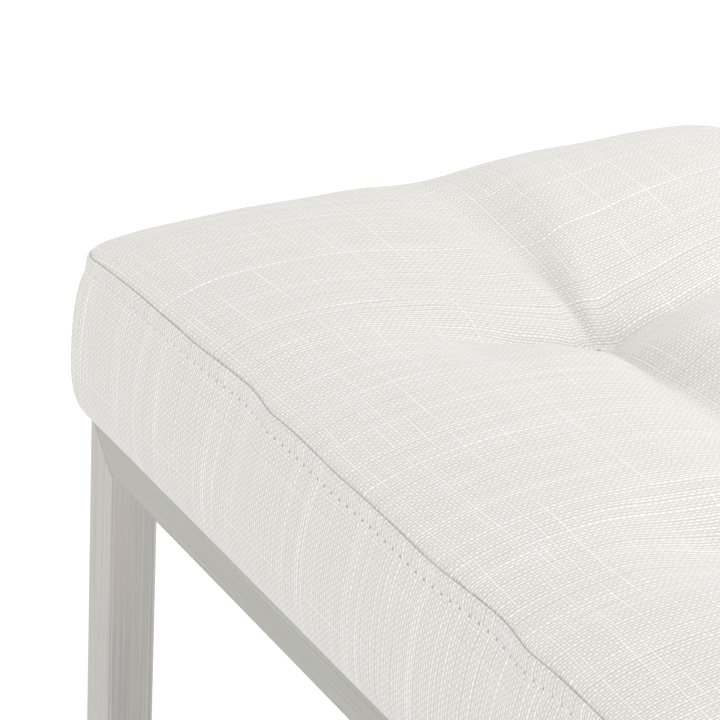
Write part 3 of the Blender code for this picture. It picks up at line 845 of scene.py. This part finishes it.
class Nodes:
    """A short way to write a material's nodes."""

    def __init__(self, name):
        self.material = bpy.data.materials.new(name)
        self.material.use_nodes = True
        self.tree = self.material.node_tree
        self.shader = self.tree.nodes["Principled BSDF"]

    def add(self, kind, **inputs):
        node = self.tree.nodes.new(kind)
        for key, value in inputs.items():
            self.plug(node, key, value)
        return node

    def plug(self, node, key, value):
        socket = node.inputs[int(key[1:]) if key[0] == "_" else key.replace("_", " ")]
        if isinstance(value, bpy.types.NodeSocket):
            self.tree.links.new(value, socket)
        else:
            socket.default_value = value

    def math(self, operation, first, second=0.0, third=0.0):
        node = self.add("ShaderNodeMath", _0=first, _1=second, _2=third)
        node.operation = operation
        return node.outputs[0]

    def mix(self, share, first, second):
        node = self.tree.nodes.new("ShaderNodeMix")
        node.data_type = "RGBA"
        self.plug(node, "_0", share)
        self.plug(node, "_6", first)
        self.plug(node, "_7", second)
        return node.outputs[2]

    def noise(self, vector, scale, detail=2.0, rough=0.5, w=None):
        node = self.tree.nodes.new("ShaderNodeTexNoise")
        if w is not None:
            node.noise_dimensions = "4D"
            self.plug(node, "W", w)
        self.plug(node, "Vector", vector)
        self.plug(node, "Scale", scale)
        self.plug(node, "Detail", detail)
        self.plug(node, "Roughness", rough)
        return node.outputs["Fac"]

    def ramp(self, value, low, high):
        node = self.add("ShaderNodeMapRange", _0=value, _1=low, _2=high, _3=0.0, _4=1.0)
        node.interpolation_type = "SMOOTHSTEP"
        return node.outputs[0]

    def combine(self, x, y, z=0.0):
        return self.add("ShaderNodeCombineXYZ", X=x, Y=y, Z=z).outputs[0]

    def place(self):
        """The object's own coordinates, in metres."""
        return self.tree.nodes.new("ShaderNodeTexCoord").outputs["Object"]

    def stretched(self, axis, across, along):
        """The object's own coordinates, scaled differently along one axis."""
        scales = [across, across, across]
        scales["XYZ".index(axis)] = along
        node = self.add("ShaderNodeVectorMath", _0=self.place(), _1=tuple(scales))
        node.operation = "MULTIPLY"
        return node.outputs[0]

    def bump(self, height, strength, distance):
        node = self.add("ShaderNodeBump", Height=height, Strength=strength, Distance=distance)
        self.plug(self.shader, "Normal", node.outputs[0])


def colour(red, green, blue):
    return (red, green, blue, 1.0)


def shade(tint, factors):
    return colour(*(value * factor for value, factor in zip(tint, factors)))


def uneven(nodes, across, along, seed):
    """Thread number across the cloth, with threads of uneven width that wander a little."""
    width = nodes.noise(nodes.combine(nodes.math("MULTIPLY", across, 0.42), seed), 1.0, 1.0)
    slow_across = nodes.math("MULTIPLY", across, 0.10)
    slow_along = nodes.math("MULTIPLY", along, 0.035)
    drift = nodes.noise(nodes.combine(slow_across, slow_along, seed), 1.0, 2.0)
    moved = nodes.math("MULTIPLY_ADD", nodes.math("SUBTRACT", width, 0.5), 1.5, across)
    return nodes.math("MULTIPLY_ADD", nodes.math("SUBTRACT", drift, 0.5), 1.2, moved)


def slubs(nodes, thread, along, seed, often, change):
    """How much of a slub one thread has here: 0 on plain thread, up to 1 on a thick pale one."""
    chance = nodes.tree.nodes.new("ShaderNodeTexWhiteNoise")
    chance.noise_dimensions = "2D"
    nodes.plug(chance, "Vector", nodes.combine(thread, seed))
    lucky = nodes.ramp(chance.outputs["Value"], 0.90 - often, 1.50 - often)
    place = nodes.combine(nodes.math("MULTIPLY", thread, 7.3), nodes.math("MULTIPLY", along, change), seed)
    return nodes.math("MULTIPLY", lucky, nodes.ramp(nodes.noise(place, 1.0, 2.0), 0.35, 0.70))


def threads(nodes, across, along, kind):
    """Height of one set of threads and how pale its slubs make it, going over and under the other."""
    sign, seed, lowest, often, change = kind
    centre = nodes.math("ABSOLUTE", nodes.math("SINE", nodes.math("MULTIPLY", across, math.pi)))
    thread = nodes.math("FLOOR", across)
    phase = nodes.math("MULTIPLY", nodes.math("ADD", along, thread), math.pi)
    over = nodes.math("MULTIPLY_ADD", nodes.math("SINE", phase), 0.5 * sign, 0.5)
    slub = slubs(nodes, thread, along, seed, often, change)
    lift = nodes.math("MULTIPLY_ADD", over, 0.50, nodes.math("MULTIPLY_ADD", slub, 0.16, lowest))
    height = nodes.math("MULTIPLY", nodes.math("POWER", centre, 0.7), lift)
    shown = nodes.math("MULTIPLY_ADD", over, 0.45, 0.55)
    pale = nodes.math("MULTIPLY", nodes.math("MULTIPLY", slub, shown), nodes.ramp(centre, 0.45, 0.90))
    return height, pale


def cloth_material(name, stitches=None):
    """A plain weave of pale yarn with thicker, paler slubs in both directions, painted shade where the
    weave lies low between the threads, and maybe stitch holes.
    """
    nodes = Nodes(name)
    flat = nodes.tree.nodes.new("ShaderNodeUVMap")
    flat.uv_map = "Cloth"
    parts = nodes.add("ShaderNodeSeparateXYZ", _0=flat.outputs[0])
    plain_u = nodes.math("DIVIDE", parts.outputs[0], THREAD_PITCH)
    plain_v = nodes.math("DIVIDE", parts.outputs[1], THREAD_PITCH)
    u = uneven(nodes, plain_u, plain_v, 3.7)
    v = uneven(nodes, plain_v, plain_u, 8.1)
    warp, warp_pale = threads(nodes, u, v, WARP)
    weft, weft_pale = threads(nodes, v, u, WEFT)
    pale = nodes.math("MAXIMUM", warp_pale, weft_pale)
    weave = nodes.math("MAXIMUM", warp, weft)
    finer = nodes.combine(nodes.math("MULTIPLY", u, 1.1), nodes.math("MULTIPLY", v, 1.1))
    fibre = nodes.noise(finer, 2.2, 3.0, 0.7)
    height = nodes.math("MULTIPLY_ADD", fibre, 0.40, nodes.math("MULTIPLY_ADD", pale, 0.12, weave))
    # painted shade between the threads: the lower the weave, the nearer its colour comes to the gap shade
    gap_shade_mask = nodes.ramp(weave, 0.25, 1.00)
    yarn = nodes.mix(fibre, colour(*YARN_DARK), colour(*YARN_LIGHT))
    patch = nodes.noise(flat.outputs[0], 14.0, 3.0, 0.6)
    yarn = nodes.mix(nodes.math("MULTIPLY", patch, 0.25), yarn, colour(*YARN_PATCH))
    woven = nodes.mix(gap_shade_mask, colour(*WEAVE_GAP_SHADE), yarn)
    final = nodes.mix(nodes.math("MULTIPLY", pale, 0.20), woven, colour(*SLUB))
    if stitches is not None:
        final, height = needle_holes(nodes, parts, final, height, stitches)
    nodes.plug(nodes.shader, "Base_Color", final)
    nodes.plug(nodes.shader, "Roughness", nodes.math("MULTIPLY_ADD", fibre, 0.12, 0.80))
    nodes.shader.inputs["Sheen Weight"].default_value = 0.18
    nodes.shader.inputs["Sheen Roughness"].default_value = 0.55
    nodes.shader.inputs["Specular IOR Level"].default_value = 0.22
    nodes.bump(height, 0.45, 0.00035)
    return nodes.material


def needle_holes(nodes, parts, final, height, stitches):
    """Needle holes at the stitches' ends, along one row of the band: a dip in the bump, and painted shade
    in their colour.
    """
    drop, pitch = stitches
    turn = nodes.math("FRACT", nodes.math("MULTIPLY_ADD", parts.outputs[0], 1.0 / pitch, 0.5))
    along = nodes.math("MULTIPLY", nodes.math("SUBTRACT", turn, 0.5), pitch)
    down = nodes.math("ADD", parts.outputs[1], drop)
    reach = nodes.math("SQRT", nodes.math("MULTIPLY_ADD", along, along, nodes.math("MULTIPLY", down, down)))
    hole = nodes.math("SUBTRACT", 1.0, nodes.ramp(reach, *HOLE_EDGE))
    # painted shade in each needle hole's colour; the same mask also sinks the bump
    with_hole_shade = nodes.mix(nodes.math("MULTIPLY", hole, 0.70), final, colour(*HOLE_SHADE))
    return with_hole_shade, nodes.math("MULTIPLY_ADD", hole, -2.2, height)


def thread_material():
    nodes = Nodes("stitch_thread")
    twist = nodes.noise(nodes.place(), 3200.0, 2.0, 0.6)
    dark, light = STITCH_TONES
    nodes.plug(nodes.shader, "Base_Color", nodes.mix(twist, colour(*dark), colour(*light)))
    nodes.shader.inputs["Roughness"].default_value = 0.75
    nodes.shader.inputs["Sheen Weight"].default_value = 0.2
    nodes.bump(twist, 0.5, 0.0002)
    return nodes.material


def steel_material(name, axis, tint):
    """Brushed steel, with its fine scratches along one axis, faint smudges in its roughness, and faint
    warmer patches that are a painted warm reflection.
    """
    nodes = Nodes(name)
    scratch = nodes.noise(nodes.stretched(axis, 900.0, 7.0), 1.0, 4.0, 0.65)
    smudge_and_reflection = nodes.noise(nodes.stretched(axis, 70.0, 11.0), 1.0, 3.0, 0.6)
    dark = shade(tint, (0.86, 0.86, 0.86))
    light = shade(tint, (1.10, 1.10, 1.10))
    # painted warm reflection, laid on in patches
    warm_reflection = shade(tint, (1.07, 1.00, 0.99))
    base = nodes.mix(nodes.ramp(scratch, 0.30, 0.70), dark, light)
    base = nodes.mix(nodes.math("MULTIPLY", nodes.ramp(smudge_and_reflection, 0.46, 0.66), 0.60), base, warm_reflection)
    nodes.plug(nodes.shader, "Base_Color", base)
    nodes.shader.inputs["Metallic"].default_value = 1.0
    rough = nodes.math("MULTIPLY_ADD", scratch, 0.16, nodes.math("MULTIPLY_ADD", smudge_and_reflection, 0.14, 0.20))
    nodes.plug(nodes.shader, "Roughness", rough)
    nodes.shader.inputs["Anisotropic"].default_value = 0.55
    nodes.bump(scratch, 0.10, 0.0002)
    return nodes.material


def plywood_material():
    nodes = Nodes("plywood_grain")
    parts = nodes.add("ShaderNodeSeparateXYZ", _0=nodes.place())
    stretched = nodes.combine(
        nodes.math("MULTIPLY", parts.outputs[0], 6.0),
        nodes.math("MULTIPLY", parts.outputs[1], 70.0),
        nodes.math("MULTIPLY", parts.outputs[2], 20.0),
    )
    grain = nodes.noise(stretched, 1.0, 6.0, 0.65)
    ply = nodes.math("FRACT", nodes.math("MULTIPLY", parts.outputs[2], 1.0 / PLY))
    grained = nodes.math("MULTIPLY", grain, 0.65)
    layered = nodes.math("MULTIPLY_ADD", nodes.ramp(ply, 0.42, 0.58), 0.35, grained)
    dark, light = WOOD_TONES
    tone = nodes.mix(nodes.ramp(layered, 0.2, 0.8), colour(*dark), colour(*light))
    nodes.plug(nodes.shader, "Base_Color", tone)
    nodes.plug(nodes.shader, "Roughness", nodes.math("MULTIPLY_ADD", grain, 0.2, 0.6))
    nodes.bump(grain, 0.3, 0.0005)
    return nodes.material


def grainy_material(name, tones, scale, roughness, bump_depth, sheen=0.0):
    """A material with an even fine grain: plastic, foam, wadding, felt or twine."""
    nodes = Nodes(name)
    place = nodes.place()
    fine = nodes.noise(place, scale, 5.0, 0.7)
    broad = nodes.noise(place, scale * 0.08, 2.0, 0.5)
    grain = nodes.math("MULTIPLY_ADD", broad, 0.4, nodes.math("MULTIPLY", fine, 0.6))
    dark, light = tones
    tone = nodes.mix(nodes.ramp(grain, 0.3, 0.7), colour(*dark), colour(*light))
    nodes.plug(nodes.shader, "Base_Color", tone)
    nodes.plug(nodes.shader, "Roughness", nodes.math("MULTIPLY_ADD", fine, 0.15, roughness))
    nodes.shader.inputs["Sheen Weight"].default_value = sheen
    nodes.bump(fine, 0.35, bump_depth)
    return nodes.material


def finish_frame_nodes():
    """Better materials on the CAD nodes that stay in view."""
    steel = {}
    # each copy of the steel carries painted shade in its tint
    for axis, tint in STEEL_SHADED_TINTS.items():
        steel[axis] = steel_material(f"shaded_brushed_steel_{axis.lower()}", axis, tint)
    zinc = steel_material("zinc_plated_steel", "Z", ZINC_TINT)
    plastic = grainy_material("moulded_plastic", PLASTIC_TONES, 900.0, 0.42, 0.0001)
    wood = plywood_material()
    twine = grainy_material("tuft_twine", TWINE_TONES, 1500.0, 0.80, 0.0003, 0.1)
    chosen = (
        ("leg_", steel["Z"]), ("rail_front", steel["X"]), ("rail_rear", steel["X"]),
        ("rail_left", steel["Y"]), ("rail_right", steel["Y"]), ("corner_plate_", steel["X"]),
        ("foot_insert_", plastic), ("glide_pad_", plastic), ("glide_stud_", zinc),
        ("seat_bolt_", zinc), ("t_nut_", zinc), ("tuft_anchor_", zinc), ("tuft_tie_", twine),
        ("seat_board", wood),
    )
    for name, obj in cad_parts.items():
        for start, made in chosen:
            if name.startswith(start):
                for slot in obj.material_slots:
                    slot.material = made


# ---- stage, light and camera ---------------------------------------------------------------------


def build_floor():
    mesh = bpy.data.meshes.new("floor")
    reach = FLOOR_REACH
    corners = [(-reach, -reach, 0.0), (reach, -reach, 0.0), (reach, reach, 0.0), (-reach, reach, 0.0)]
    mesh.from_pydata(corners, [], [(0, 1, 2, 3)])
    floor = bpy.data.objects.new("floor", mesh)
    bpy.context.collection.objects.link(floor)
    nodes = Nodes("pale_floor")
    speckle = nodes.noise(nodes.place(), 40.0, 3.0)
    dark, light = FLOOR_TONES
    nodes.plug(nodes.shader, "Base_Color", nodes.mix(speckle, colour(*dark), colour(*light)))
    nodes.shader.inputs["Roughness"].default_value = 0.9
    mesh.materials.append(nodes.material)


def area_light(name, at, target, size, power):
    data = bpy.data.lights.new(name, "AREA")
    data.shape = "DISK"
    data.size = size
    data.energy = power
    light = bpy.data.objects.new(name, data)
    bpy.context.collection.objects.link(light)
    light.location = at
    aim = Vector(target) - Vector(at)
    light.rotation_euler = aim.to_track_quat("-Z", "Y").to_euler()
    light.visible_camera = False


def build_light():
    """Even white light all round, a little stronger from the front, and a soft box above."""
    world = bpy.data.worlds.new("studio")
    world.use_nodes = True
    tree = world.node_tree
    background = tree.nodes["Background"]
    where = tree.nodes.new("ShaderNodeTexCoord")
    facing = tree.nodes.new("ShaderNodeVectorMath")
    facing.operation = "DOT_PRODUCT"
    facing.inputs[1].default_value = STRONG_SIDE
    tree.links.new(where.outputs["Generated"], facing.inputs[0])
    strength = tree.nodes.new("ShaderNodeMapRange")
    strength.interpolation_type = "SMOOTHSTEP"
    for socket, value in enumerate((-1.0, 1.0, WORLD_PLAIN, WORLD_FRONT), start=1):
        strength.inputs[socket].default_value = value
    tree.links.new(facing.outputs["Value"], strength.inputs[0])
    tree.links.new(strength.outputs[0], background.inputs["Strength"])
    background.inputs["Color"].default_value = (1.0, 1.0, 1.0, 1.0)
    bpy.context.scene.world = world
    area_light("soft_box", SOFT_BOX_AT, SOFT_BOX_AIM, SOFT_BOX_SIZE, SOFT_BOX_POWER)
    bpy.context.scene.view_settings.view_transform = "Standard"


def build_camera():
    """The photograph's view: from the bench's right, along its front, with a long lens."""
    corner = Vector((-HALF_LENGTH, -HALF_DEPTH, FRAME_TOP))
    camera_at = corner + Vector(CAMERA_FROM_CORNER) * TUBE
    level = math.cos(CAMERA_ELEVATION)
    ahead_x = -math.sin(CAMERA_AZIMUTH) * level
    ahead_y = math.cos(CAMERA_AZIMUTH) * level
    ahead = Vector((ahead_x, ahead_y, -math.sin(CAMERA_ELEVATION)))
    right = Vector((math.cos(CAMERA_AZIMUTH), math.sin(CAMERA_AZIMUTH), 0.0))
    down = ahead.cross(right)
    turned_right = right * math.cos(CAMERA_ROLL) - down * math.sin(CAMERA_ROLL)
    turned_down = right * math.sin(CAMERA_ROLL) + down * math.cos(CAMERA_ROLL)
    data = bpy.data.cameras.new("camera")
    data.sensor_width = SENSOR
    data.lens = LENS
    data.clip_end = 100.0
    camera = bpy.data.objects.new("camera", data)
    bpy.context.collection.objects.link(camera)
    turn = Matrix((turned_right, -turned_down, -ahead)).transposed()
    camera.matrix_world = Matrix.Translation(camera_at) @ turn.to_4x4()
    bpy.context.scene.camera = camera


def main():
    build_camera()
    build_light()
    build_floor()
    finish_frame_nodes()
    total = seam_ring()[1][-1]
    stitches = (band_drops()[STITCH_ROW], total / stitch_count(total))
    build_top(cloth_material("seat_cloth_top"))
    build_wadding(grainy_material("wadding_fibre", WADDING_TONES, 260.0, 0.92, 0.0008, 0.3))
    build_foam(grainy_material("foam_cells", FOAM_TONES, 500.0, 0.88, 0.0006))
    stitch_line, total = build_band(cloth_material("seat_cloth_band", stitches))
    build_stitches(stitch_line, total, thread_material())
    build_dust_cover(grainy_material("dust_cover_felt", FELT_TONES, 700.0, 0.86, 0.0003, 0.2))


main()
